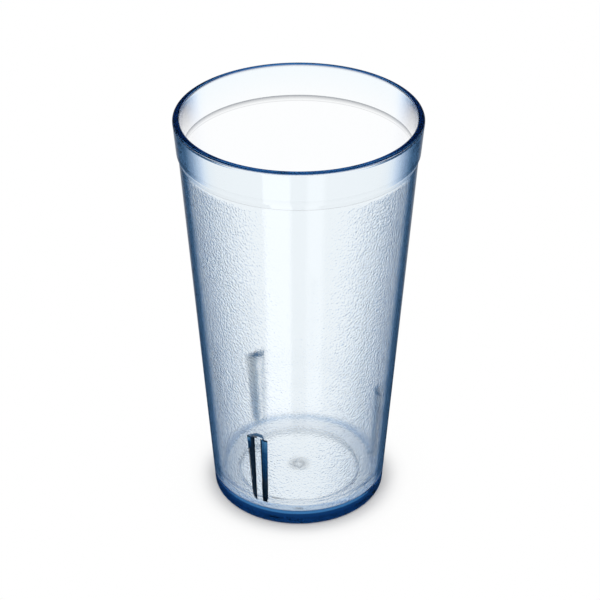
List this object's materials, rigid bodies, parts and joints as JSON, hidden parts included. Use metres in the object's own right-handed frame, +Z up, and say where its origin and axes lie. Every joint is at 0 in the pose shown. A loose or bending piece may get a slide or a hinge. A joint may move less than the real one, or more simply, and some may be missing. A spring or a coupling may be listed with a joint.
{
  "type": "plastic tumbler cup",
  "caption": "Tall tapered drinking tumbler in clear, faintly blue plastic, with a plain rim band, a pebbled body and stacking lugs inside.",
  "frame": {"origin": "middle of the foot plane, where the cup's axis meets the surface it stands on", "axes": "+Z up along the cup's axis, +X through one of the inside stacking lugs"},
  "size_m": [0.085, 0.085, 0.15],
  "materials": {
    "tumbler_plastic": "clear faintly blue moulded plastic, smooth inside and on the rim band, fine pebble grain on the outside of the body"
  },
  "bodies": {
    "root": {"tumbler": "tumbler_plastic"}
  },
  "joints": []
}
